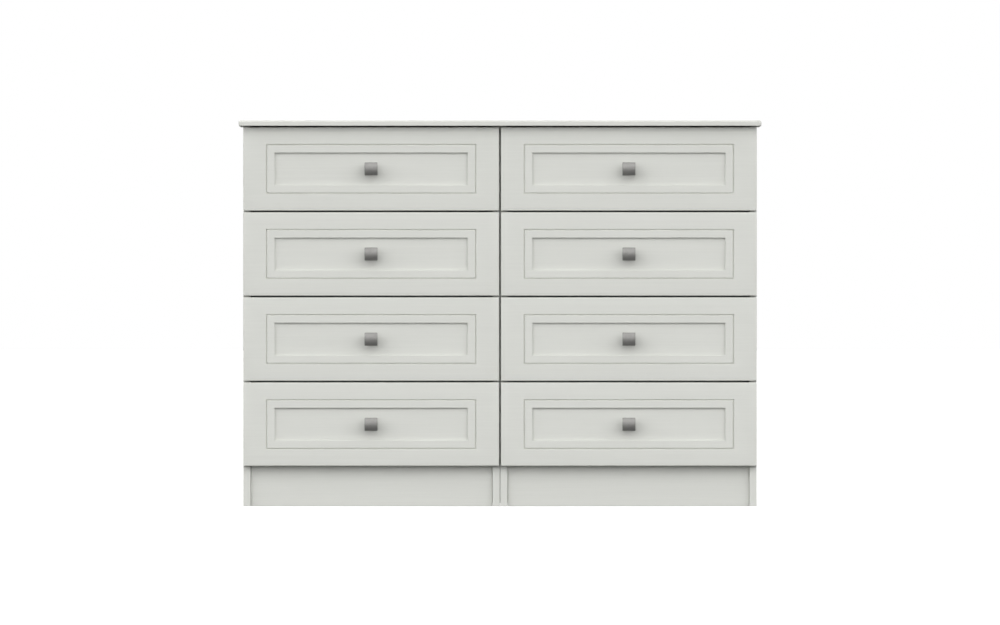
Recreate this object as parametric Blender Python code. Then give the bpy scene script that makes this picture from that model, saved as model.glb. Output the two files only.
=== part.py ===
"""Double chest of drawers: two four-drawer carcases side by side under one top panel.

Metres, +Z up, drawers opening towards -Y. The origin is on the floor, at the middle of the
plan of the whole chest with its knobs. Runs with: blender --background --python part.py
"""

from math import asin, cos, pi, radians, sin

import bmesh
import bpy
from mathutils import Vector

# Overall sizes
WIDTH = 1.150  # top panel, end to end
HEIGHT = 0.849  # floor to the upper face of the top panel
TOP_DEPTH = 0.415  # top panel, front edge to rear edge
ROWS = 4  # drawers in each carcase
SIDES = {"left": -1, "right": 1}  # each carcase and the sign of its x

# Boards
BOARD = 0.016  # carcase sides, base panels and plinths
CARCASE_GAP = 0.0010  # between the two carcases
TOP_THICKNESS = 0.012
TOP_END_OVERHANG = 0.010  # past the carcase at each end
TOP_FRONT_OVERHANG = 0.020  # past the faces of the drawer fronts
TOP_UPPER_RADIUS = 0.0045  # of its upper edges
TOP_LOWER_RADIUS = 0.0010  # of its lower edges
TOP_CORNER_RADIUS = 0.0055  # of its corners in plan
BOARD_EDGE_RADIUS = 0.0008
BACK_THICKNESS = 0.003
BACK_EDGE_INSET = 0.001  # back panel edge, in from the carcase's outer face
BACK_FOOT = 0.004  # lower edge of the back panels above the floor
BACK_LAP = 0.004  # the left back panel reaches this far past the middle and covers the joint
PLINTH_HEIGHT = 0.0902
PLINTH_SETBACK = 0.0105  # plinth face, behind the front edges of the sides

# Drawer fronts
FRONT_THICKNESS = 0.018
FRONT_STANDOFF = 0.002  # rear of a closed front to the front edges of the sides
FRONT_LIP = 0.0015  # lowest fronts reach this far below the top of the plinth
ROW_GAP = 0.0034  # between rows
TOP_GAP = 0.0029  # under the top panel
COLUMN_GAP = 0.0041  # between the two columns
FRONT_EDGE_RADIUS = 0.0020
FRONT_CORNER_RADIUS = 0.0018
REAR_CHAMFER = 0.0006
STILE = 0.0515  # front's side edge to the centre of the V groove
RAIL = 0.0383  # front's top or bottom edge to the centre of the V groove
BORDER_CROWN = 0.0009  # the border's fall from its flat part to its outer edges
BORDER_CROWN_WIDTH = 0.024  # outer part of the border that falls
GROOVE_HALF_WIDTH = 0.0016
GROOVE_DEPTH = 0.0027
BEAD = 0.0178  # centre of the V groove to the edge of the sunk panel
BEAD_RADIUS = 0.0008  # where the bead turns down to the sunk panel
PANEL_RECESS = 0.0062

# Drawer boxes
BOX_WALL = 0.012
BOX_CLEARANCE = 0.0052  # lowest box above the base panel
BOX_HEADROOM = 0.032  # top edge of the box up to the top edge of the front
BOX_REAR_CLEARANCE = 0.0345  # rear of a closed box to the back panel
BOX_EDGE_RADIUS = 0.0006
BOTTOM_THICKNESS = 0.003
BOTTOM_RISE = 0.010  # bottom edge of the box up to the underside of its bottom panel
BOTTOM_SLOT_DEPTH = 0.005
BOTTOM_SLOT_PLAY = 0.0006  # edge of the bottom panel to the end of its slot

# Runners: strips on the sides that fill slots in the drawer boxes
SIDE_PLAY = 0.0015  # box wall to carcase side
RUNNER_HEIGHT = 0.0165
RUNNER_SLOT_DEPTH = 0.007
RUNNER_PLAY = 0.0005  # above and below the strip, in its slot
RUNNER_END_PLAY = 0.001  # strip's face to the bottom of its slot
RUNNER_RISE = 0.055  # bottom edge of the box up to the middle of the strip
RUNNER_FRONT_SETBACK = 0.010
RUNNER_REAR_SETBACK = 0.070
RUNNER_CHAMFER = 0.0008

# Knobs
KNOB_SIZE = 0.0286  # square head
KNOB_PROJECTION = 0.034  # from the sunk panel
KNOB_HEAD_DEPTH = 0.016
KNOB_CROWN = 0.0040  # bulge of the face from its top and bottom edges to its middle
KNOB_EDGE_RADIUS = 0.0010
KNOB_FOOT_RADIUS = 0.0120
KNOB_WAIST_RADIUS = 0.0095
KNOB_NECK_RADIUS = 0.0115
KNOB_FOOT_THICKNESS = 0.0015
KNOB_FOOT_FLARE = 0.0035  # length over which the foot narrows to the waist
KNOB_NECK_FLARE = 0.0040  # length over which the waist widens to the neck
KNOB_ROOT = 0.002  # stem that is inside the head

TOUCH = 0.0003  # gap between pieces that touch
WELD = 1e-7
CREASE = radians(35)  # edges sharper than this are shaded sharp

CORNER_STEPS = 3
EDGE_STEPS = 3
TOP_UPPER_STEPS = 5
TOP_LOWER_STEPS = 2
CROWN_STEPS = 5
SIDE_EDGE_STEPS = 2
KNOB_EDGE_STEPS = 2
FACE_STEPS = 8
STEM_STEPS = 20

# Planes that several pieces share
DEPTH = TOP_DEPTH - TOP_FRONT_OVERHANG + KNOB_PROJECTION - PANEL_RECESS
REAR_Y = DEPTH / 2
TOP_FRONT_Y = REAR_Y - TOP_DEPTH
FACE_Y = TOP_FRONT_Y + TOP_FRONT_OVERHANG
FRONT_REAR_Y = FACE_Y + FRONT_THICKNESS
SIDE_FRONT_Y = FRONT_REAR_Y + FRONT_STANDOFF
SIDE_REAR_Y = REAR_Y - BACK_THICKNESS - TOUCH
UNDER_TOP_Z = HEIGHT - TOP_THICKNESS
CARCASE_OUTER_X = WIDTH / 2 - TOP_END_OVERHANG
CARCASE_INNER_X = CARCASE_GAP / 2
BAY_OUTER_X = CARCASE_OUTER_X - BOARD
BAY_INNER_X = CARCASE_INNER_X + BOARD
BAY_X = (BAY_OUTER_X + BAY_INNER_X) / 2

# Drawer sizes that follow from them
FRONT_WIDTH = CARCASE_OUTER_X - COLUMN_GAP / 2
FRONT_X = (CARCASE_OUTER_X + COLUMN_GAP / 2) / 2
BAY_OFFSET = BAY_X - FRONT_X  # middle of the bay, out from the middle of the front
FRONTS_BOTTOM_Z = PLINTH_HEIGHT - FRONT_LIP
FRONT_HEIGHT = (UNDER_TOP_Z - TOP_GAP + ROW_GAP - FRONTS_BOTTOM_Z) / ROWS - ROW_GAP
ROW_PITCH = FRONT_HEIGHT + ROW_GAP
BOX_WIDTH = BAY_OUTER_X - BAY_INNER_X - 2 * SIDE_PLAY
BOX_RISE = FRONT_LIP + TOUCH + BOARD + BOX_CLEARANCE  # above the bottom edge of the front
BOX_HEIGHT = FRONT_HEIGHT - BOX_RISE - BOX_HEADROOM
BOX_LENGTH = SIDE_REAR_Y - BOX_REAR_CLEARANCE - FRONT_REAR_Y
BOTTOM_SLOT_HALF_WIDTH = BOX_WIDTH / 2 - BOX_WALL + BOTTOM_SLOT_DEPTH
BOTTOM_SLOT_REAR_Y = BOX_LENGTH - BOX_WALL + BOTTOM_SLOT_DEPTH
BOTTOM_SLOT_LOW = BOX_RISE + BOTTOM_RISE - TOUCH
BOTTOM_SLOT_HIGH = BOX_RISE + BOTTOM_RISE + BOTTOM_THICKNESS + TOUCH
BOTTOM_LENGTH = BOTTOM_SLOT_REAR_Y + BOTTOM_SLOT_DEPTH - 2 * BOTTOM_SLOT_PLAY
RUNNER_SLOT_HALF_HEIGHT = RUNNER_HEIGHT / 2 + RUNNER_PLAY
RUNNER_WIDTH = SIDE_PLAY + RUNNER_SLOT_DEPTH - RUNNER_END_PLAY - TOUCH
RUNNER_LENGTH = SIDE_REAR_Y - RUNNER_REAR_SETBACK - SIDE_FRONT_Y - RUNNER_FRONT_SETBACK


def make_material(name, colour, roughness, metallic=0.0):
    """A Principled material of one linear colour."""
    material = bpy.data.materials.new(name)
    material.use_nodes = True
    shader = material.node_tree.nodes["Principled BSDF"]
    shader.inputs["Base Color"].default_value = (*colour, 1.0)
    shader.inputs["Roughness"].default_value = roughness
    shader.inputs["Metallic"].default_value = metallic
    material.diffuse_color = (*colour, 1.0)
    return material


def finish_mesh(shape, name):
    """The bmesh as a new mesh, welded, with its faces pointing out, smooth between creases."""
    bmesh.ops.remove_doubles(shape, verts=shape.verts, dist=WELD)
    bmesh.ops.recalc_face_normals(shape, faces=shape.faces)
    mesh = bpy.data.meshes.new(name)
    shape.to_mesh(mesh)
    shape.free()
    smooth_mesh(mesh)
    return mesh


def smooth_mesh(mesh):
    mesh.shade_smooth()
    mesh.set_sharp_from_angle(angle=CREASE)


def box_shape(boxes):
    """A bmesh of boxes, each from its lowest to its highest corner."""
    shape = bmesh.new()
    for low, high in boxes:
        low = Vector(low)
        high = Vector(high)
        corners = bmesh.ops.create_cube(shape, size=1.0)["verts"]
        bmesh.ops.scale(shape, vec=high - low, verts=corners)
        bmesh.ops.translate(shape, vec=(low + high) / 2, verts=corners)
    return shape


def round_edges(shape, edges, radius, steps=1):
    """Rounds edges of a bmesh; one step makes a chamfer."""
    bmesh.ops.bevel(
        shape,
        geom=edges,
        offset=radius,
        offset_type="OFFSET",
        segments=steps,
        profile=0.5,
        affect="EDGES",
    )


def board_mesh(name, size, radius=0.0, steps=1):
    """A board centred on its own origin, with its edges rounded."""
    half = Vector(size) / 2
    shape = box_shape([(-half, half)])
    if radius:
        round_edges(shape, shape.edges[:], radius, steps)
    return finish_mesh(shape, name)


def rounded_rectangle(half_width, half_height, radius):
    """Points around a rectangle with round corners, in its own plane."""
    corners = ((1, 1), (-1, 1), (-1, -1), (1, -1))
    points = []
    for corner, (sign_across, sign_up) in enumerate(corners):
        for step in range(CORNER_STEPS + 1):
            angle = (corner + step / CORNER_STEPS) * pi / 2
            across = sign_across * (half_width - radius) + radius * cos(angle)
            up = sign_up * (half_height - radius) + radius * sin(angle)
            points.append((across, up))
    return points


def loft_mesh(name, rings):
    """A closed solid through rings of equally many points, capped at both ends."""
    shape = bmesh.new()
    rows = [[shape.verts.new(point) for point in ring] for ring in rings]
    count = len(rows[0])
    for near, far in zip(rows, rows[1:]):
        for i in range(count):
            j = (i + 1) % count
            shape.faces.new((near[i], near[j], far[j], far[i]))
    shape.faces.new(rows[0])
    shape.faces.new(rows[-1])
    return finish_mesh(shape, name)


def boolean_mesh(mesh, other, operation):
    """The mesh joined with, or cut by, another mesh; both of them are used up."""
    body = bpy.data.objects.new(mesh.name, mesh)
    tool = bpy.data.objects.new(mesh.name + "_tool", other)
    for obj in (body, tool):
        bpy.context.scene.collection.objects.link(obj)
    modifier = body.modifiers.new("combine", "BOOLEAN")
    modifier.operation = operation
    modifier.solver = "EXACT"
    modifier.object = tool
    graph = bpy.context.evaluated_depsgraph_get()
    result = bpy.data.meshes.new_from_object(body.evaluated_get(graph))
    result.name = mesh.name
    for obj in (body, tool):
        bpy.data.objects.remove(obj)
    for used in (mesh, other):
        bpy.data.meshes.remove(used)
    smooth_mesh(result)
    return result


def place(name, mesh, location, material, parent):
    """A new object at a place in its parent's frame."""
    if not mesh.materials:
        mesh.materials.append(material)
    obj = bpy.data.objects.new(name, mesh)
    bpy.context.scene.collection.objects.link(obj)
    obj.parent = parent
    obj.location = location
    return obj


def place_board(name, low, high, material, parent, radius=0.0, steps=1):
    """A board between two corners given in its parent's frame."""
    low = Vector(low)
    high = Vector(high)
    mesh = board_mesh(name, high - low, radius, steps)
    return place(name, mesh, (low + high) / 2, material, parent)


def add_empty(name, location, parent=None):
    empty = bpy.data.objects.new(name, None)
    bpy.context.scene.collection.objects.link(empty)
    empty.parent = parent
    empty.location = location
    return empty


def clear_scene():
    for obj in list(bpy.data.objects):
        bpy.data.objects.remove(obj)


def span(side, near, far):
    """The x values of a piece between two distances from the centre line, lowest first."""
    return sorted((SIDES[side] * near, SIDES[side] * far))


def top_mesh():
    """The top panel with its upper edges well rounded; its origin is at the middle of its base."""
    profile = []
    for step in range(TOP_LOWER_STEPS + 1):
        angle = step / TOP_LOWER_STEPS * pi / 2
        inset = TOP_LOWER_RADIUS * (1 - sin(angle))
        profile.append((inset, TOP_LOWER_RADIUS * (1 - cos(angle))))
    for step in range(TOP_UPPER_STEPS + 1):
        angle = step / TOP_UPPER_STEPS * pi / 2
        inset = TOP_UPPER_RADIUS * (1 - cos(angle))
        profile.append((inset, TOP_THICKNESS - TOP_UPPER_RADIUS * (1 - sin(angle))))
    rings = []
    for inset, z in profile:
        outline = rounded_rectangle(WIDTH / 2 - inset, TOP_DEPTH / 2 - inset, TOP_CORNER_RADIUS - inset)
        rings.append([(x, y, z) for x, y in outline])
    return loft_mesh("top_panel", rings)


def add_top(chest, material):
    place("top_panel", top_mesh(), (0.0, REAR_Y - TOP_DEPTH / 2, UNDER_TOP_Z), material, chest)


def add_carcase(side, chest, foil, back_board):
    """One carcase: outer and inner side, base panel, plinth and back panel."""
    boards = {
        "outer_side": (BAY_OUTER_X, CARCASE_OUTER_X),
        "inner_side": (CARCASE_INNER_X, BAY_INNER_X),
    }
    for name, (near, far) in boards.items():
        low_x, high_x = span(side, near, far)
        place_board(
            f"{side}_{name}",
            (low_x, SIDE_FRONT_Y, 0.0),
            (high_x, SIDE_REAR_Y, UNDER_TOP_Z - TOUCH),
            foil,
            chest,
            BOARD_EDGE_RADIUS,
            SIDE_EDGE_STEPS,
        )
    low_x, high_x = span(side, BAY_INNER_X + TOUCH, BAY_OUTER_X - TOUCH)
    place_board(
        f"{side}_base_panel",
        (low_x, SIDE_FRONT_Y, PLINTH_HEIGHT + TOUCH),
        (high_x, SIDE_REAR_Y, PLINTH_HEIGHT + TOUCH + BOARD),
        foil,
        chest,
        BOARD_EDGE_RADIUS,
    )
    plinth_y = SIDE_FRONT_Y + PLINTH_SETBACK
    place_board(
        f"{side}_plinth",
        (low_x, plinth_y, 0.0),
        (high_x, plinth_y + BOARD, PLINTH_HEIGHT),
        foil,
        chest,
        BOARD_EDGE_RADIUS,
    )
    lap = -BACK_LAP if side == "left" else BACK_LAP + TOUCH
    low_x, high_x = span(side, lap, CARCASE_OUTER_X - BACK_EDGE_INSET)
    place_board(
        f"{side}_back_panel",
        (low_x, SIDE_REAR_Y + TOUCH, BACK_FOOT),
        (high_x, REAR_Y, UNDER_TOP_Z - TOUCH),
        back_board,
        chest,
    )


def add_runners(side, row_z, number, chest, mesh, plastic):
    """The pair of strips that carry one drawer."""
    y = SIDE_FRONT_Y + RUNNER_FRONT_SETBACK + RUNNER_LENGTH / 2
    z = row_z + BOX_RISE + RUNNER_RISE
    places = {
        "outer": BAY_OUTER_X - TOUCH - RUNNER_WIDTH / 2,
        "inner": BAY_INNER_X + TOUCH + RUNNER_WIDTH / 2,
    }
    for name, x in places.items():
        place(f"{side}_runner_{number}_{name}", mesh, (SIDES[side] * x, y, z), plastic, chest)


def rectangle_ring(inset_x, inset_z, y):
    """A ring of the drawer front, in from its edges; its corners are round near the outer edge."""
    outline = rounded_rectangle(
        FRONT_WIDTH / 2 - inset_x, FRONT_HEIGHT / 2 - inset_z, max(FRONT_CORNER_RADIUS - inset_x, 0.0)
    )
    return [(x, y, z) for x, z in outline]


def front_mesh(bay_offset):
    """A moulded front: round edge, crowned border, V groove, bead, then the sunk panel.

    Its origin is at the middle of its rear face. The slot in its rear is centred on the bay.
    """
    face = -FRONT_THICKNESS
    rings = [
        rectangle_ring(REAR_CHAMFER, REAR_CHAMFER, 0.0),
        rectangle_ring(0.0, 0.0, -REAR_CHAMFER),
    ]
    for step in range(EDGE_STEPS):
        angle = step / EDGE_STEPS * pi / 2
        inset = FRONT_EDGE_RADIUS * (1 - cos(angle))
        y = face + BORDER_CROWN + FRONT_EDGE_RADIUS * (1 - sin(angle))
        rings.append(rectangle_ring(inset, inset, y))
    for step in range(CROWN_STEPS + 1):
        share = step / CROWN_STEPS
        inset = FRONT_EDGE_RADIUS + (BORDER_CROWN_WIDTH - FRONT_EDGE_RADIUS) * share
        rings.append(rectangle_ring(inset, inset, face + BORDER_CROWN * (1 - share) ** 2))
    groove = (
        (-GROOVE_HALF_WIDTH, face),
        (0.0, face + GROOVE_DEPTH),
        (GROOVE_HALF_WIDTH, face),
    )
    for offset, y in groove:
        rings.append(rectangle_ring(STILE + offset, RAIL + offset, y))
    for step in range(EDGE_STEPS):
        angle = step / (EDGE_STEPS - 1) * pi / 2
        offset = BEAD - BEAD_RADIUS * (1 - sin(angle))
        y = face + BEAD_RADIUS * (1 - cos(angle))
        rings.append(rectangle_ring(STILE + offset, RAIL + offset, y))
    rings.append(rectangle_ring(STILE + BEAD, RAIL + BEAD, face + PANEL_RECESS))
    solid = loft_mesh("drawer_front", rings)
    slot_low_z = BOTTOM_SLOT_LOW - FRONT_HEIGHT / 2
    slot_high_z = BOTTOM_SLOT_HIGH - FRONT_HEIGHT / 2
    slot = (
        (bay_offset - BOTTOM_SLOT_HALF_WIDTH, -BOTTOM_SLOT_DEPTH, slot_low_z),
        (bay_offset + BOTTOM_SLOT_HALF_WIDTH, BOTTOM_SLOT_DEPTH, slot_high_z),
    )
    return boolean_mesh(solid, finish_mesh(box_shape([slot]), "front_slot"), "DIFFERENCE")


def box_mesh():
    """The two sides and the back of a drawer, folded from one board, with its three slots.

    Its origin is at the middle of its open front end, level with the bottom edge of the front.
    """
    outer = BOX_WIDTH / 2
    inner = outer - BOX_WALL
    near = TOUCH
    far = BOX_LENGTH
    outline = (
        (-outer, near),
        (-inner, near),
        (-inner, far - BOX_WALL),
        (inner, far - BOX_WALL),
        (inner, near),
        (outer, near),
        (outer, far),
        (-outer, far),
    )
    shape = bmesh.new()
    base = shape.faces.new([shape.verts.new((x, y, BOX_RISE)) for x, y in outline])
    raised = bmesh.ops.extrude_face_region(shape, geom=[base])["geom"]
    lifted = [item for item in raised if isinstance(item, bmesh.types.BMVert)]
    bmesh.ops.translate(shape, vec=(0.0, 0.0, BOX_HEIGHT), verts=lifted)
    bmesh.ops.recalc_face_normals(shape, faces=shape.faces)
    round_edges(shape, shape.edges[:], BOX_EDGE_RADIUS)
    solid = finish_mesh(shape, "drawer_box")

    slot_z = BOX_RISE + RUNNER_RISE
    beyond = BOX_WALL  # every cutter runs this far past the board
    cutters = [
        (
            (-BOTTOM_SLOT_HALF_WIDTH, near - beyond, BOTTOM_SLOT_LOW),
            (BOTTOM_SLOT_HALF_WIDTH, BOTTOM_SLOT_REAR_Y, BOTTOM_SLOT_HIGH),
        )
    ]
    for low_x, high_x in (
        (-outer - beyond, -outer + RUNNER_SLOT_DEPTH),
        (outer - RUNNER_SLOT_DEPTH, outer + beyond),
    ):
        cutters.append(
            (
                (low_x, near - beyond, slot_z - RUNNER_SLOT_HALF_HEIGHT),
                (high_x, far + beyond, slot_z + RUNNER_SLOT_HALF_HEIGHT),
            )
        )
    return boolean_mesh(solid, finish_mesh(box_shape(cutters), "box_slots"), "DIFFERENCE")


def knob_mesh():
    """A square head with a crowned face on a round stem; its origin is on its foot."""
    half = KNOB_SIZE / 2
    crown_radius = (half**2 + KNOB_CROWN**2) / (2 * KNOB_CROWN)
    crown_angle = asin(half / crown_radius)
    rear = KNOB_HEAD_DEPTH - KNOB_PROJECTION
    profile = [(rear, half), (rear, -half)]
    for step in range(FACE_STEPS + 1):
        angle = crown_angle * (2 * step / FACE_STEPS - 1)
        y = crown_radius * (1 - cos(angle)) - KNOB_PROJECTION
        profile.append((y, crown_radius * sin(angle)))
    shape = bmesh.new()
    end = shape.faces.new([shape.verts.new((-half, y, z)) for y, z in profile])
    moved = bmesh.ops.extrude_face_region(shape, geom=[end])["geom"]
    across = [item for item in moved if isinstance(item, bmesh.types.BMVert)]
    bmesh.ops.translate(shape, vec=(KNOB_SIZE, 0.0, 0.0), verts=across)
    bmesh.ops.recalc_face_normals(shape, faces=shape.faces)
    creases = [edge for edge in shape.edges if edge.calc_face_angle() > CREASE]
    round_edges(shape, creases, KNOB_EDGE_RADIUS, KNOB_EDGE_STEPS)
    head = finish_mesh(shape, "knob")

    foot = -TOUCH - KNOB_FOOT_THICKNESS
    stations = (
        (KNOB_FOOT_RADIUS, -TOUCH),
        (KNOB_FOOT_RADIUS, foot),
        (KNOB_WAIST_RADIUS, foot - KNOB_FOOT_FLARE),
        (KNOB_WAIST_RADIUS, rear + KNOB_NECK_FLARE),
        (KNOB_NECK_RADIUS, rear),
        (KNOB_NECK_RADIUS, rear - KNOB_ROOT),
    )
    rings = []
    for radius, y in stations:
        ring = []
        for step in range(STEM_STEPS):
            angle = 2 * pi * step / STEM_STEPS
            ring.append((radius * cos(angle), y, radius * sin(angle)))
        rings.append(ring)
    return boolean_mesh(head, loft_mesh("stem", rings), "UNION")


def add_drawer(side, row_z, number, chest, meshes, materials):
    """One drawer, under an empty that slides along -Y: front, box, bottom panel and knob."""
    prefix = f"{side}_drawer_{number}"
    slide = add_empty(f"{prefix}_slide", (SIDES[side] * FRONT_X, FRONT_REAR_Y, row_z), chest)
    bay_offset = SIDES[side] * BAY_OFFSET
    middle_z = FRONT_HEIGHT / 2
    bottom_y = BOTTOM_SLOT_REAR_Y - BOTTOM_SLOT_PLAY - BOTTOM_LENGTH / 2
    bottom_z = BOX_RISE + BOTTOM_RISE + BOTTOM_THICKNESS / 2
    places = {
        "front": (0.0, 0.0, middle_z),
        "box": (bay_offset, 0.0, 0.0),
        "bottom": (bay_offset, bottom_y, bottom_z),
        "knob": (0.0, PANEL_RECESS - FRONT_THICKNESS, middle_z),
    }
    for piece, location in places.items():
        place(f"{prefix}_{piece}", meshes[piece], location, materials[piece], slide)


def main():
    clear_scene()
    grey_foil = make_material("grey_foil", (0.66, 0.67, 0.63), 0.45)
    front_foil = make_material("front_foil", (0.67, 0.68, 0.64), 0.42)
    box_foil = make_material("box_foil", (0.62, 0.63, 0.60), 0.50)
    bottom_board = make_material("drawer_bottom_board", (0.59, 0.60, 0.57), 0.50)
    back_board = make_material("back_hardboard", (0.33, 0.21, 0.11), 0.75)
    plastic = make_material("runner_plastic", (0.55, 0.55, 0.53), 0.40)
    nickel = make_material("satin_nickel", (0.40, 0.39, 0.37), 0.30, 1.0)

    chest = add_empty("chest", (0.0, 0.0, 0.0))
    add_top(chest, grey_foil)
    bottom_size = (2 * (BOTTOM_SLOT_HALF_WIDTH - BOTTOM_SLOT_PLAY), BOTTOM_LENGTH, BOTTOM_THICKNESS)
    meshes = {
        "box": box_mesh(),
        "bottom": board_mesh("drawer_bottom", bottom_size),
        "knob": knob_mesh(),
    }
    materials = {
        "front": front_foil,
        "box": box_foil,
        "bottom": bottom_board,
        "knob": nickel,
    }
    runner_size = (RUNNER_WIDTH, RUNNER_LENGTH, RUNNER_HEIGHT)
    runner = board_mesh("runner", runner_size, RUNNER_CHAMFER)
    for side, sign in SIDES.items():
        meshes["front"] = front_mesh(sign * BAY_OFFSET)
        add_carcase(side, chest, grey_foil, back_board)
        for row in range(ROWS):
            number = ROWS - row
            row_z = FRONTS_BOTTOM_Z + row * ROW_PITCH
            add_runners(side, row_z, number, chest, runner, plastic)
            add_drawer(side, row_z, number, chest, meshes, materials)


main()
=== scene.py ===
"""Double chest of drawers: finishes, fittings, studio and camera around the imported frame.

Metres, +Z up, drawer fronts towards -Y. Every place comes from the boxes of the CAD nodes.
"""

from math import cos, pi, radians, sin

import bmesh
import bpy
from mathutils import Matrix, Vector


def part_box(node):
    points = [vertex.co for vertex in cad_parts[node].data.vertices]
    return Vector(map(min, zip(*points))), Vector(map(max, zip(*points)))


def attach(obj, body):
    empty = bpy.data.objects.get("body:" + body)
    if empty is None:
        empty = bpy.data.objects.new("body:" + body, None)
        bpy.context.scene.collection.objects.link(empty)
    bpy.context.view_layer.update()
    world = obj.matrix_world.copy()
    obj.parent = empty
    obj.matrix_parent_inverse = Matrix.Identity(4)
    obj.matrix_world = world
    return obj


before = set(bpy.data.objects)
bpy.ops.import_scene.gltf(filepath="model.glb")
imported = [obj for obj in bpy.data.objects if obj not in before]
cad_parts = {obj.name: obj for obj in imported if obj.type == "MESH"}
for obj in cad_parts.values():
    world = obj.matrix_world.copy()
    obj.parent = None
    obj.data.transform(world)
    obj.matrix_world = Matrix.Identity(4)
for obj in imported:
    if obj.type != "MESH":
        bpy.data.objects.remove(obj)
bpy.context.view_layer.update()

SIDES = {"left": -1, "right": 1}
ROWS = (1, 2, 3, 4)
CARCASE = "carcase"

# Shading of the CAD meshes
WELD = 1e-5
CREASE = radians(32)

# Colours, linear
FOIL = (0.628, 0.636, 0.599)
# pale foil tone: random pale patches on the drawer boxes, and the painted highlight on rounded foil
# edges
FOIL_PALE_AND_EDGE_HIGHLIGHT = (0.640, 0.648, 0.607)
BOX_FOIL = (0.560, 0.567, 0.540)
BOX_CORE = (0.392, 0.268, 0.150)
BOTTOM_BOARD = (0.590, 0.596, 0.566)
FIBRE_BOARD = (0.330, 0.208, 0.112)
FIBRE_CHIP = (0.190, 0.105, 0.050)
RUNNER = (0.640, 0.630, 0.590)
NICKEL = (0.330, 0.325, 0.315)
ZINC = (0.560, 0.575, 0.590)
BUMPER = (0.700, 0.710, 0.700)

# Noise values that the colours and roughnesses are spread between
DARK_END = 0.36
LIGHT_END = 0.64

# Fittings, metres
SUNK = 0.0006  # a fitting's foot is this far inside the piece it stands on
PIN = (0.0026, 0.0007, 0.0002)  # radius, height and skirt of a domed head
RUNNER_SCREW = (0.0036, 0.00055, 0.0001)
BUFFER = (0.0035, 0.0015, 0.0004)
KNOB_SCREW = (  # (radius, height) pairs: washer, head and its rounded edge
    (0.0058, -SUNK), (0.0058, 0.0008), (0.0054, 0.0011), (0.0041, 0.0011), (0.0041, 0.0021),
    (0.0039, 0.0027), (0.0033, 0.0032), (0.0022, 0.0035), (0.0002, 0.0036),
)
CAM = (  # (radius, height) pairs: rim, sunk ring and boss
    (0.0062, -SUNK), (0.0062, 0.0003), (0.0059, 0.0005), (0.0052, 0.0005),
    (0.0050, 0.0003), (0.0030, 0.0003), (0.0028, 0.0005), (0.0002, 0.0005),
)
CAM_NOTCH = (0.0016, 0.0008, 0.002)
CAM_NOTCH_PLACE = (0.0060, 0.0, 0.0011)
PIN_INSET = 0.0075  # from the edge of a back panel
PIN_SPACING = 0.105
PIN_TOP_MARGIN = 0.030
RUNNER_SCREW_SHARES = (0.10, 0.50, 0.90)  # along a strip
CARCASE_CAM_DROP = 0.0170  # below the top of a side
CARCASE_CAM_INSET = 0.060  # from its front and rear edges
BOX_WALL = 0.012  # thickness of the box walls in the CAD
BOX_CAM_SETBACK = 0.024  # from the open front end of the box
BOX_CAM_RISE = 0.030  # of the lower cam over the bottom edge of the box
BOX_CAM_DROP = 0.028  # of the upper one under its top edge
BUFFER_DROP = 0.014  # below the top edge of the front
SLOT_PLAY = 0.0006  # raw board shows this far above and below a runner strip
SLOT_SKIN = 0.0004  # and from this far inside the face of the box
SLOT_DEPTH = 0.0072

# Studio
SKY_RADIANCE = 2.655  # at the horizon, straight ahead of or behind the chest
SKY_SIDE_SHARE = 0.65  # of it from the two ends
SKY = ((0.0, 1.0), (0.5, 0.93), (0.7, 0.68), (0.85, 0.18), (1.0, 0.09))  # by the sine of elevation
GLOSS_SKY = (0.0, 0.60, 0.26, 1.25)  # its share in reflections: from and to a sine of elevation
FLOOR_SIZE = 400.0
FLOOR_SEEN = 0.60
FLOOR_GLOW = 0.60
FLOOR_BOUNCE = 0.155
FLAT_ENOUGH = 0.0001  # least squared level part of a direction

# Camera
LENS = 800.0
SENSOR = 36.0
VIEW_WIDTH = 2.2  # across the picture at the faces of the drawer fronts
VIEW_HEIGHT = 0.4264  # of the camera over the floor
CLIP = (0.1, 500.0)


# Node helpers

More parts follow.
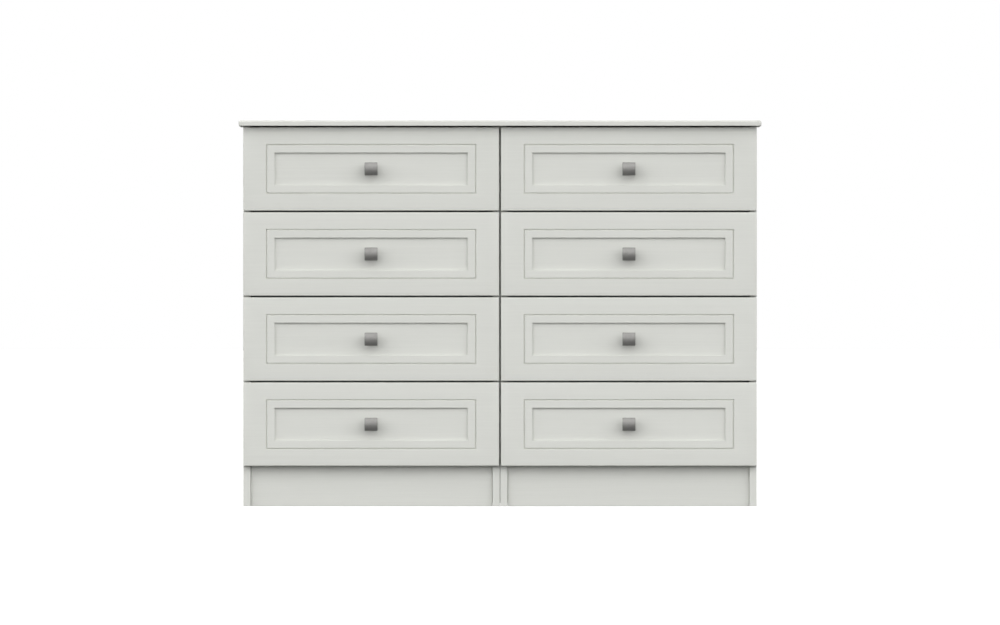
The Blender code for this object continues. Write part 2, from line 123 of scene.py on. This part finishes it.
class Finish:
    """A node material under construction; every pattern reads object coordinates in metres."""

    def __init__(self, name, roughness, metallic=0.0):
        self.material = bpy.data.materials.new(name)
        self.material.use_nodes = True
        self.tree = self.material.node_tree
        self.shader = self.tree.nodes["Principled BSDF"]
        self.shader.inputs["Roughness"].default_value = roughness
        self.shader.inputs["Metallic"].default_value = metallic
        self.place = self.add("ShaderNodeTexCoord").outputs

    def add(self, kind, inputs=(), **settings):
        """A node with its settings, and its inputs linked or set by their names or numbers."""
        node = self.tree.nodes.new(kind)
        for name, value in settings.items():
            setattr(node, name, value)
        for name, value in dict(inputs).items():
            if isinstance(value, bpy.types.NodeSocket):
                self.tree.links.new(value, node.inputs[name])
            else:
                node.inputs[name].default_value = value
        return node

    def calc(self, operation, first, second=0.0):
        inputs = {0: first, 1: second}
        return self.add("ShaderNodeMath", inputs, operation=operation).outputs[0]

    def remap(self, value, low, high, to_low=0.0, to_high=1.0):
        inputs = {0: value, 1: low, 2: high, 3: to_low, 4: to_high}
        return self.add("ShaderNodeMapRange", inputs).outputs[0]

    def noise(self, scale, detail=3.0, roughness=0.55, offset=0.0):
        """Noise from 0 to 1; scale is cycles a metre, one number or one for each axis."""
        if isinstance(scale, (int, float)):
            scale = (scale,) * 3
        spread = self.add(
            "ShaderNodeMapping",
            {"Vector": self.place["Object"], "Scale": scale, "Location": (offset,) * 3},
        )
        texture = self.add(
            "ShaderNodeTexNoise",
            {
                "Vector": spread.outputs[0],
                "Scale": 1.0,
                "Detail": detail,
                "Roughness": roughness,
            },
        )
        return texture.outputs["Fac"]

    def blend(self, factor, first, second):
        """The first colour, turning to the second as the factor goes to 1."""
        mix = self.add("ShaderNodeMix", data_type="RGBA")
        factor_in, first_in, second_in = mix.inputs[0], mix.inputs[6], mix.inputs[7]
        for socket, value in ((factor_in, factor), (first_in, first), (second_in, second)):
            if isinstance(value, bpy.types.NodeSocket):
                self.tree.links.new(value, socket)
            elif socket is factor_in:
                socket.default_value = value
            else:
                socket.default_value = (*value[:3], 1.0)
        return mix.outputs[2]

    def shaded(self, colour, factor, low, high):
        """A colour times a brightness that goes from low to high with the factor."""
        dark = tuple(part * low for part in colour)
        light = tuple(part * high for part in colour)
        return self.blend(factor, dark, light)

    def normal_part(self, axis):
        """One part of the surface's normal in object space."""
        parts = self.add("ShaderNodeSeparateXYZ", {0: self.place["Normal"]})
        return parts.outputs[axis]

    def edge_mask(self):
        """1 on rounded edges and other slanted faces, 0 on faces square to the axes."""
        flat = self.calc("ABSOLUTE", self.normal_part(0))
        for axis in (1, 2):
            flat = self.calc("MAXIMUM", flat, self.calc("ABSOLUTE", self.normal_part(axis)))
        return self.remap(flat, 0.985, 0.90)

    def total(self, *parts):
        """The sum of (value, weight) pairs."""
        result = None
        for value, weight in parts:
            part = self.calc("MULTIPLY", value, weight)
            result = part if result is None else self.calc("ADD", result, part)
        return result

    def bump(self, height, distance, strength=1.0):
        bump = self.add(
            "ShaderNodeBump", {"Height": height, "Distance": distance, "Strength": strength}
        )
        self.tree.links.new(bump.outputs[0], self.shader.inputs["Normal"])

    def link(self, value, name):
        self.tree.links.new(value, self.shader.inputs[name])


def streaks_along(axis, length, width):
    """Noise scale for streaks of a length along one axis and a width across the others."""
    return tuple(1 / length if i == axis else 1 / width for i in range(3))


# Finishes

def foil_finish(name, colour, edge_highlight_colour, axis):
    """Matt wrapped board: faint ash streaks along one axis, fine pores, shinier where pulled tight
    over edges; rounded edges and slanted faces are painted lighter as a highlight.
    """
    finish = Finish(name, 0.45)
    streaks = finish.noise(streaks_along(axis, 0.22, 0.0032), 4.0, 0.60)
    fine = finish.noise(streaks_along(axis, 0.045, 0.0008), 2.0, 0.50, 3.1)
    cloud = finish.noise(5.0, 2.0, 0.45, 7.3)
    tone = finish.total((streaks, 0.55), (fine, 0.25), (cloud, 0.20))
    body = finish.shaded(colour, finish.remap(tone, 0.34, 0.66), 0.976, 1.022)
    edges = finish.edge_mask()
    # painted highlight: rounded edges and slanted faces, the groove walls too, turn to the paler
    # edge colour
    finish.link(finish.blend(edges, body, edge_highlight_colour), "Base Color")
    pores = finish.remap(fine, 0.30, 0.46, 0.0, 1.0)
    matt = finish.remap(tone, 0.34, 0.66, 0.50, 0.42)
    finish.link(finish.calc("SUBTRACT", matt, finish.calc("MULTIPLY", edges, 0.08)), "Roughness")
    peel = finish.noise(900.0, 2.0, 0.50, 1.7)
    finish.bump(finish.total((streaks, 0.35), (pores, 0.40), (peel, 0.25)), 0.00006)
    return finish.material


def box_finish(row_bottom, row_pitch, slot):
    """Linen-print foil on the drawer boxes; raw board shows inside the runner slots."""
    finish = Finish("drawer_box_linen", 0.50)
    across = finish.noise((90.0, 90.0, 2300.0), 1.0, 0.40)
    upright = finish.noise((2300.0, 2300.0, 90.0), 1.0, 0.40, 2.3)
    weave = finish.total((across, 0.5), (upright, 0.5))
    cloud = finish.noise(9.0, 2.0, 0.50, 5.0)
    foil = finish.shaded(BOX_FOIL, finish.remap(weave, DARK_END, LIGHT_END), 0.93, 1.07)
    foil = finish.blend(finish.remap(cloud, 0.3, 0.7, 0.0, 0.12), foil, FOIL_PALE_AND_EDGE_HIGHLIGHT)
    parts = finish.add("ShaderNodeSeparateXYZ", {0: finish.place["Object"]})
    x = finish.calc("ABSOLUTE", parts.outputs[0])
    z = finish.calc("SUBTRACT", parts.outputs[2], row_bottom)
    z = finish.calc("MODULO", z, row_pitch)
    low_z, high_z, near_x, far_x, depth = slot
    inside = finish.calc("GREATER_THAN", z, low_z)
    inside = finish.calc("MULTIPLY", inside, finish.calc("LESS_THAN", z, high_z))
    outer = finish.calc("LESS_THAN", x, far_x)
    outer = finish.calc("MULTIPLY", outer, finish.calc("GREATER_THAN", x, far_x - depth))
    inner = finish.calc("GREATER_THAN", x, near_x)
    inner = finish.calc("MULTIPLY", inner, finish.calc("LESS_THAN", x, near_x + depth))
    raw = finish.calc("MULTIPLY", inside, finish.calc("MAXIMUM", outer, inner))
    grains = finish.noise(1100.0, 3.0, 0.65, 4.0)
    core = finish.shaded(BOX_CORE, finish.remap(grains, 0.35, 0.65), 0.72, 1.22)
    finish.link(finish.blend(raw, foil, core), "Base Color")
    matt = finish.remap(weave, DARK_END, LIGHT_END, 0.56, 0.44)
    finish.link(finish.calc("MAXIMUM", matt, finish.calc("MULTIPLY", raw, 0.85)), "Roughness")
    rough = finish.calc("MULTIPLY", grains, raw)
    finish.bump(finish.total((weave, 0.6), (rough, 1.6)), 0.00012)
    return finish.material


def bottom_finish():
    """Smooth faced board of the drawer bottoms, lightly mottled, brown at its cut edges."""
    finish = Finish("drawer_bottom_board", 0.48)
    fleck = finish.noise(650.0, 3.0, 0.60)
    cloud = finish.noise(11.0, 3.0, 0.50, 6.0)
    tone = finish.total((fleck, 0.6), (cloud, 0.4))
    face = finish.shaded(BOTTOM_BOARD, finish.remap(tone, DARK_END, LIGHT_END), 0.955, 1.035)
    upright = finish.calc("ABSOLUTE", finish.normal_part(2))
    cut = finish.remap(upright, 0.7, 0.3)
    finish.link(finish.blend(cut, face, BOX_CORE), "Base Color")
    finish.link(finish.remap(tone, DARK_END, LIGHT_END, 0.54, 0.42), "Roughness")
    finish.bump(fleck, 0.00003)
    return finish.material


def back_finish():
    """Thin fibre board: pale foil towards the drawers, bare brown fibres on the wall side."""
    finish = Finish("back_fibre_board", 0.75)
    fibres = finish.noise(900.0, 4.0, 0.70)
    clumps = finish.noise(130.0, 4.0, 0.62, 2.0)
    cloud = finish.noise(6.0, 3.0, 0.50, 9.0)
    streaks = finish.noise(streaks_along(0, 0.30, 0.012), 3.0, 0.55, 4.4)
    tone = finish.total((fibres, 0.34), (clumps, 0.30), (cloud, 0.20), (streaks, 0.16))
    raw = finish.shaded(FIBRE_BOARD, finish.remap(tone, DARK_END, LIGHT_END), 0.80, 1.20)
    chips = finish.remap(clumps, 0.64, 0.72, 0.0, 0.45)
    raw = finish.blend(chips, raw, FIBRE_CHIP)
    foil = finish.shaded(BOTTOM_BOARD, finish.remap(tone, DARK_END, LIGHT_END), 0.97, 1.02)
    facing_wall = finish.remap(finish.normal_part(1), -0.7, -0.3)
    finish.link(finish.blend(facing_wall, foil, raw), "Base Color")
    matt = finish.remap(tone, DARK_END, LIGHT_END, 0.84, 0.68)
    finish.link(finish.calc("SUBTRACT", matt, finish.remap(facing_wall, 0, 1, 0.3, 0)), "Roughness")
    finish.bump(finish.total((fibres, 0.6), (clumps, 0.4)), 0.00010)
    return finish.material


def runner_finish():
    """Moulded runner plastic: a fine spark texture, polished along the middle by use."""
    finish = Finish("runner_nylon", 0.40)
    spark = finish.noise(1600.0, 2.0, 0.55)
    cloud = finish.noise(22.0, 2.0, 0.50, 3.0)
    tone = finish.total((spark, 0.4), (cloud, 0.6))
    body = finish.shaded(RUNNER, finish.remap(tone, DARK_END, LIGHT_END), 0.95, 1.03)
    finish.link(body, "Base Color")
    slide = finish.noise(streaks_along(1, 0.20, 0.0006), 3.0, 0.55, 1.0)
    polish = finish.total((spark, 0.5), (slide, 0.5))
    finish.link(finish.remap(polish, DARK_END, LIGHT_END, 0.48, 0.32), "Roughness")
    finish.bump(polish, 0.00003)
    return finish.material


def metal_finish(name, colour, roughness, axis, depth):
    """Plated metal with a brushed grain along one axis and slight staining; rounded edges and
    bevels are painted lighter as a highlight.
    """
    finish = Finish(name, roughness, 1.0)
    brush = finish.noise(streaks_along(axis, 0.010, 0.00016), 3.0, 0.60)
    cloud = finish.noise(160.0, 3.0, 0.55, 8.0)
    tone = finish.total((brush, 0.6), (cloud, 0.4))
    factor = finish.remap(tone, DARK_END, LIGHT_END)
    body = finish.shaded(colour, factor, 0.93, 1.06)
    edges = finish.edge_mask()
    # painted highlight: edges and bevels blend halfway to a paler colour
    light = tuple(part * 1.12 for part in colour)
    finish.link(finish.blend(finish.calc("MULTIPLY", edges, 0.5), body, light), "Base Color")
    matt = finish.remap(tone, DARK_END, LIGHT_END, roughness + 0.05, roughness - 0.05)
    finish.link(matt, "Roughness")
    finish.bump(brush, depth)
    return finish.material


def bumper_finish():
    """Clear soft plastic of the buffers."""
    finish = Finish("buffer_plastic", 0.22)
    cloud = finish.noise(420.0, 2.0, 0.50)
    body = finish.shaded(BUMPER, finish.remap(cloud, DARK_END, LIGHT_END), 0.94, 1.04)
    finish.link(body, "Base Color")
    finish.link(finish.remap(cloud, DARK_END, LIGHT_END, 0.28, 0.18), "Roughness")
    finish.bump(cloud, 0.00002)
    return finish.material


# Fittings

def turned_mesh(name, profile, steps):
    """A closed solid turned about +Z from (radius, height) pairs; the last ones end on the axis."""
    shape = bmesh.new()
    rings = []
    for radius, height in profile:
        turns = [2 * pi * step / steps for step in range(steps)]
        rings.append([shape.verts.new((radius * cos(t), radius * sin(t), height)) for t in turns])
    for near, far in zip(rings, rings[1:]):
        for i in range(steps):
            j = (i + 1) % steps
            shape.faces.new((near[i], near[j], far[j], far[i]))
    shape.faces.new(rings[0])
    shape.faces.new(rings[-1])
    bmesh.ops.recalc_face_normals(shape, faces=shape.faces)
    mesh = bpy.data.meshes.new(name)
    shape.to_mesh(mesh)
    shape.free()
    return mesh


def cross_mesh(name, span, width, low, high):
    """A tapered cross that cuts a driver's recess: two crossing wedges, wide at the top."""
    span_taper = 0.45
    width_taper = 0.75
    shape = bmesh.new()
    for turn in (0.0, pi / 2):
        corners = bmesh.ops.create_cube(shape, size=1.0)["verts"]
        for corner in corners:
            upper = corner.co.z > 0
            corner.co.x *= span * (1.0 if upper else span_taper)
            corner.co.y *= width * (1.0 if upper else width_taper)
            corner.co.z = high if upper else low
        bmesh.ops.rotate(shape, cent=(0, 0, 0), matrix=Matrix.Rotation(turn, 3, "Z"), verts=corners)
    mesh = bpy.data.meshes.new(name)
    shape.to_mesh(mesh)
    shape.free()
    return mesh


def cut_mesh(mesh, cutters):
    """The mesh less each cutter, as a new mesh; the meshes given are used up."""
    body = bpy.data.objects.new(mesh.name, mesh)
    tools = [bpy.data.objects.new(cutter.name, cutter) for cutter in cutters]
    for obj in (body, *tools):
        bpy.context.scene.collection.objects.link(obj)
    for tool in tools:
        modifier = body.modifiers.new("cut", "BOOLEAN")
        modifier.operation = "DIFFERENCE"
        modifier.solver = "EXACT"
        modifier.use_self = True
        modifier.object = tool
    graph = bpy.context.evaluated_depsgraph_get()
    result = bpy.data.meshes.new_from_object(body.evaluated_get(graph))
    for obj in (body, *tools):
        bpy.data.objects.remove(obj)
    for used in (mesh, *cutters):
        bpy.data.meshes.remove(used)
    return result


def dome_profile(radius, height, skirt, steps=5):
    """(radius, height) pairs of a domed head on a short skirt, sunk a little below zero."""
    profile = [(radius, -SUNK), (radius, skirt)]
    for step in range(1, steps + 1):
        angle = step / steps * pi / 2
        ring = max(radius * cos(angle), radius * 0.04)
        profile.append((ring, skirt + (height - skirt) * sin(angle)))
    return profile


def pin_mesh():
    """Round flat-headed pin of the back panels."""
    return turned_mesh("pin", dome_profile(*PIN, 4), 20)


def runner_screw_mesh():
    """Raised countersunk screw head with a cross recess."""
    head = turned_mesh("runner_screw", dome_profile(*RUNNER_SCREW, 4), 28)
    return cut_mesh(head, [cross_mesh("cross", 0.0042, 0.0009, 0.00012, 0.002)])


def knob_screw_mesh():
    """Pan-headed machine screw on a washer."""
    head = turned_mesh("knob_screw", KNOB_SCREW, 32)
    return cut_mesh(head, [cross_mesh("cross", 0.0048, 0.0011, 0.0016, 0.006)])


def cam_mesh():
    """Cam of a hidden connector: a rimmed disc with a cross recess and a pointer notch."""
    disc = turned_mesh("cam", CAM, 36)
    notch = bmesh.new()
    corners = bmesh.ops.create_cube(notch, size=1.0)["verts"]
    bmesh.ops.scale(notch, vec=CAM_NOTCH, verts=corners)
    bmesh.ops.translate(notch, vec=CAM_NOTCH_PLACE, verts=corners)
    pointer = bpy.data.meshes.new("pointer")
    notch.to_mesh(pointer)
    notch.free()
    return cut_mesh(disc, [cross_mesh("cross", 0.0054, 0.0010, -0.0002, 0.002), pointer])


def buffer_mesh():
    """Small domed buffer that keeps a closed front off the carcase."""
    return turned_mesh("buffer", dome_profile(*BUFFER, 5), 24)


def facing(point, direction, turn=0.0):
    """The matrix that puts a fitting's foot on a point with its axis along a direction."""
    face = Vector(direction).to_track_quat("Z", "Y").to_matrix().to_4x4()
    return Matrix.Translation(point) @ face @ Matrix.Rotation(turn, 4, "Z")


def scatter(name, mesh, places, material, body):
    """One piece made of copies of a mesh, which rides on a body."""
    shape = bmesh.new()
    for matrix in places:
        copy = mesh.copy()
        copy.transform(matrix)
        shape.from_mesh(copy)
        bpy.data.meshes.remove(copy)
    joined = bpy.data.meshes.new(name)
    shape.to_mesh(joined)
    shape.free()
    joined.shade_smooth()
    joined.materials.clear()
    joined.materials.append(material)
    piece = bpy.data.objects.new(name, joined)
    bpy.context.scene.collection.objects.link(piece)
    smooth_by_angle(piece)
    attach(piece, body)
    return piece


def smooth_by_angle(obj):
    """Smooth shading that stops at creases and keeps flat faces flat."""
    weld = obj.modifiers.new("weld", "WELD")
    weld.merge_threshold = WELD
    split = obj.modifiers.new("creases", "EDGE_SPLIT")
    split.split_angle = CREASE
    weight = obj.modifiers.new("flats", "WEIGHTED_NORMAL")
    weight.mode = "FACE_AREA"
    weight.weight = 100
    weight.keep_sharp = True


def evenly(low, high, spacing):
    """Places from low to high, about a spacing apart."""
    count = max(1, round((high - low) / spacing))
    return [low + (high - low) * step / count for step in range(count + 1)]


def back_pin_places():
    """Pins down both long edges and along the base panel of each back."""
    places = []
    for side in SIDES:
        low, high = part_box(f"{side}_back_panel")
        base_low, base_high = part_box(f"{side}_base_panel")
        base_z = (base_low.z + base_high.z) / 2
        for x in (low.x + PIN_INSET, high.x - PIN_INSET):
            for z in evenly(base_z, high.z - PIN_TOP_MARGIN, PIN_SPACING):
                places.append(facing((x, high.y, z), (0, 1, 0)))
        for x in evenly(low.x + PIN_INSET, high.x - PIN_INSET, PIN_SPACING)[1:-1]:
            places.append(facing((x, high.y, base_z), (0, 1, 0)))
    return places


def runner_screw_places():
    """Three screws on the free face of each runner strip."""
    places = []
    turn = 0.0
    for side, sign in SIDES.items():
        for row in ROWS:
            for wall, towards in (("outer", -sign), ("inner", sign)):
                low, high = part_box(f"{side}_runner_{row}_{wall}")
                x = high.x if towards > 0 else low.x
                z = (low.z + high.z) / 2
                for share in RUNNER_SCREW_SHARES:
                    y = low.y + (high.y - low.y) * share
                    turn += 0.7
                    places.append(facing((x, y, z), (towards, 0, 0), turn))
    return places


def carcase_cam_places():
    """Connector cams high on the carcase sides, above the top drawer boxes."""
    places = []
    turn = 0.3
    for side, sign in SIDES.items():
        for wall, towards in (("outer", -sign), ("inner", sign)):
            low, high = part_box(f"{side}_{wall}_side")
            x = high.x if towards > 0 else low.x
            for y in (low.y + CARCASE_CAM_INSET, high.y - CARCASE_CAM_INSET):
                turn += 0.5
                point = (x, y, high.z - CARCASE_CAM_DROP)
                places.append(facing(point, (towards, 0, 0), turn))
    return places


def box_cam_places(drawer):
    """Connector cams inside the drawer box, near its front."""
    low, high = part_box(f"{drawer}_box")
    places = []
    turn = 0.2
    for x, towards in ((low.x + BOX_WALL, 1), (high.x - BOX_WALL, -1)):
        for z in (low.z + BOX_CAM_RISE, high.z - BOX_CAM_DROP):
            turn += 0.9
            places.append(facing((x, low.y + BOX_CAM_SETBACK, z), (towards, 0, 0), turn))
    return places


def buffer_places(drawer, side):
    """Buffers on the rear of a front, over the front edges of the two carcase sides."""
    low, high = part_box(f"{drawer}_front")
    places = []
    for wall in ("outer", "inner"):
        side_low, side_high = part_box(f"{side}_{wall}_side")
        x = (max(low.x, side_low.x) + min(high.x, side_high.x)) / 2
        places.append(facing((x, high.y, high.z - BUFFER_DROP), (0, 1, 0)))
    return places


# Building

def dress_cad(finishes):
    """Gives every CAD node its finish and smooth shading."""
    for name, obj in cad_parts.items():
        kind = next(key for key in finishes if key in name)
        mesh = obj.data
        mesh.materials.clear()
        mesh.materials.append(finishes[kind])
        custom = mesh.attributes.get("custom_normal")
        if custom:
            mesh.attributes.remove(custom)
        mesh.shade_smooth()
        smooth_by_angle(obj)


def add_fittings(zinc, buffer_material):
    """Screws, pins, cams and buffers, each piece on the body that carries it."""
    pin = pin_mesh()
    screw = runner_screw_mesh()
    cam = cam_mesh()
    knob_screw = knob_screw_mesh()
    buffer = buffer_mesh()
    pins = scatter("back_panel_pins", pin, back_pin_places(), zinc, CARCASE)
    screws = scatter("runner_screws", screw, runner_screw_places(), zinc, CARCASE)
    cams = scatter("carcase_cams", cam, carcase_cam_places(), zinc, CARCASE)
    for side in SIDES:
        for row in ROWS:
            drawer = f"{side}_drawer_{row}"
            knob_low, knob_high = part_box(f"{drawer}_knob")
            front_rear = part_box(f"{drawer}_front")[1].y
            middle = (knob_low + knob_high) / 2
            screw_place = facing((middle.x, front_rear, middle.z), (0, 1, 0), 0.4 + row)
            scatter(f"{drawer}_knob_screw", knob_screw, [screw_place], zinc, drawer)
            box_places = box_cam_places(drawer)
            scatter(f"{drawer}_box_cams", cam, box_places, zinc, drawer)
            buffers = buffer_places(drawer, side)
            scatter(f"{drawer}_buffers", buffer, buffers, buffer_material, drawer)


def add_floor():
    """Pale floor: nearly white to the camera, and dim to the rays that light the chest."""
    mesh = bpy.data.meshes.new("floor")
    half = FLOOR_SIZE / 2
    corners = ((-half, -half, 0), (half, -half, 0), (half, half, 0), (-half, half, 0))
    mesh.from_pydata(corners, [], [(0, 1, 2, 3)])
    floor = bpy.data.objects.new("floor", mesh)
    bpy.context.scene.collection.objects.link(floor)
    material = bpy.data.materials.new("floor")
    material.use_nodes = True
    tree = material.node_tree
    tree.nodes.clear()
    lit = tree.nodes.new("ShaderNodeBsdfDiffuse")
    lit.inputs["Color"].default_value = (FLOOR_SEEN, FLOOR_SEEN, FLOOR_SEEN, 1.0)
    glow = tree.nodes.new("ShaderNodeEmission")
    glow.inputs["Strength"].default_value = FLOOR_GLOW
    seen = tree.nodes.new("ShaderNodeAddShader")
    bounce = tree.nodes.new("ShaderNodeEmission")
    bounce.inputs["Strength"].default_value = FLOOR_BOUNCE
    path = tree.nodes.new("ShaderNodeLightPath")
    mix = tree.nodes.new("ShaderNodeMixShader")
    output = tree.nodes.new("ShaderNodeOutputMaterial")
    tree.links.new(lit.outputs[0], seen.inputs[0])
    tree.links.new(glow.outputs[0], seen.inputs[1])
    tree.links.new(path.outputs["Is Camera Ray"], mix.inputs[0])
    tree.links.new(bounce.outputs[0], mix.inputs[1])
    tree.links.new(seen.outputs[0], mix.inputs[2])
    tree.links.new(mix.outputs[0], output.inputs["Surface"])
    mesh.materials.append(material)


def add_world():
    """A white studio: bright from the horizon up, dim overhead, plain white to the camera."""
    world = bpy.data.worlds.new("studio")
    bpy.context.scene.world = world
    world.use_nodes = True
    tree = world.node_tree
    tree.nodes.clear()

    def calc(operation, first, second):
        node = tree.nodes.new("ShaderNodeMath")
        node.operation = operation
        for socket, value in zip(node.inputs, (first, second)):
            if isinstance(value, bpy.types.NodeSocket):
                tree.links.new(value, socket)
            else:
                socket.default_value = value
        return node.outputs[0]

    place = tree.nodes.new("ShaderNodeTexCoord")
    parts = tree.nodes.new("ShaderNodeSeparateXYZ")
    tree.links.new(place.outputs["Generated"], parts.inputs[0])
    along_y, up = parts.outputs[1], parts.outputs[2]
    level = calc("SUBTRACT", 1.0, calc("MULTIPLY", up, up))
    ahead = calc("DIVIDE", calc("MULTIPLY", along_y, along_y), calc("MAXIMUM", level, FLAT_ENOUGH))
    share = calc("ADD", calc("MULTIPLY", ahead, 1.0 - SKY_SIDE_SHARE), SKY_SIDE_SHARE)
    ramp = tree.nodes.new("ShaderNodeValToRGB")
    tree.links.new(up, ramp.inputs[0])
    stops = ramp.color_ramp.elements
    while len(stops) < len(SKY):
        stops.new(0.5)
    for stop, (sine, value) in zip(stops, SKY):
        stop.position = sine
        stop.color = (value, value, value, 1.0)
    path = tree.nodes.new("ShaderNodeLightPath")
    low, high, dim, full = GLOSS_SKY
    slope = (full - dim) / (high - low)
    gloss = calc("ADD", calc("MULTIPLY", calc("SUBTRACT", up, low), slope), dim)
    gloss = calc("MINIMUM", calc("MAXIMUM", gloss, dim), full)
    change = calc("MULTIPLY", calc("SUBTRACT", gloss, 1.0), path.outputs["Is Glossy Ray"])
    share = calc("MULTIPLY", share, calc("ADD", change, 1.0))
    dome = tree.nodes.new("ShaderNodeBackground")
    tree.links.new(ramp.outputs[0], dome.inputs["Color"])
    tree.links.new(calc("MULTIPLY", share, SKY_RADIANCE), dome.inputs["Strength"])
    plain = tree.nodes.new("ShaderNodeBackground")
    plain.inputs["Color"].default_value = (1.0, 1.0, 1.0, 1.0)
    mix = tree.nodes.new("ShaderNodeMixShader")
    output = tree.nodes.new("ShaderNodeOutputWorld")
    tree.links.new(path.outputs["Is Camera Ray"], mix.inputs[0])
    tree.links.new(dome.outputs[0], mix.inputs[1])
    tree.links.new(plain.outputs[0], mix.inputs[2])
    tree.links.new(mix.outputs[0], output.inputs["Surface"])


def add_camera():
    """Square to the fronts, level, far enough away for a nearly parallel view."""
    camera = bpy.data.cameras.new("camera")
    camera.lens = LENS
    camera.sensor_width = SENSOR
    distance = VIEW_WIDTH / SENSOR * LENS
    camera.clip_start, camera.clip_end = CLIP
    obj = bpy.data.objects.new("camera", camera)
    bpy.context.scene.collection.objects.link(obj)
    face_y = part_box("left_drawer_1_front")[0].y
    obj.location = (0.0, face_y - distance, VIEW_HEIGHT)
    obj.rotation_euler = (pi / 2, 0.0, 0.0)
    bpy.context.scene.camera = obj


def slot_ranges():
    """Rows and runner slots of the drawer boxes, from the boxes of the nodes."""
    low_4, high_4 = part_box("right_drawer_4_box")
    low_3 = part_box("right_drawer_3_box")[0]
    strip_low, strip_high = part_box("right_runner_4_outer")
    return low_4.z, low_3.z - low_4.z, (
        strip_low.z - low_4.z - SLOT_PLAY,
        strip_high.z - low_4.z + SLOT_PLAY,
        low_4.x + SLOT_SKIN,
        high_4.x - SLOT_SKIN,
        SLOT_DEPTH,
    )


def main():
    """Dresses the frame, then adds the fittings, the studio and the camera."""
    along_x = foil_finish("foil_along", FOIL, FOIL_PALE_AND_EDGE_HIGHLIGHT, 0)
    upright = foil_finish("foil_upright", FOIL, FOIL_PALE_AND_EDGE_HIGHLIGHT, 2)
    zinc = metal_finish("zinc_plate", ZINC, 0.36, 0, 0.00001)
    nickel = metal_finish("satin_nickel", NICKEL, 0.60, 0, 0.00001)
    dress_cad({
        "_side": upright,
        "top_panel": along_x,
        "base_panel": along_x,
        "plinth": along_x,
        "back_panel": back_finish(),
        "runner": runner_finish(),
        "_front": along_x,
        "_box": box_finish(*slot_ranges()),
        "_bottom": bottom_finish(),
        "_knob": nickel,
    })
    add_fittings(zinc, bumper_finish())
    add_floor()
    add_world()
    add_camera()
    bpy.context.scene.view_settings.view_transform = "Standard"


main()
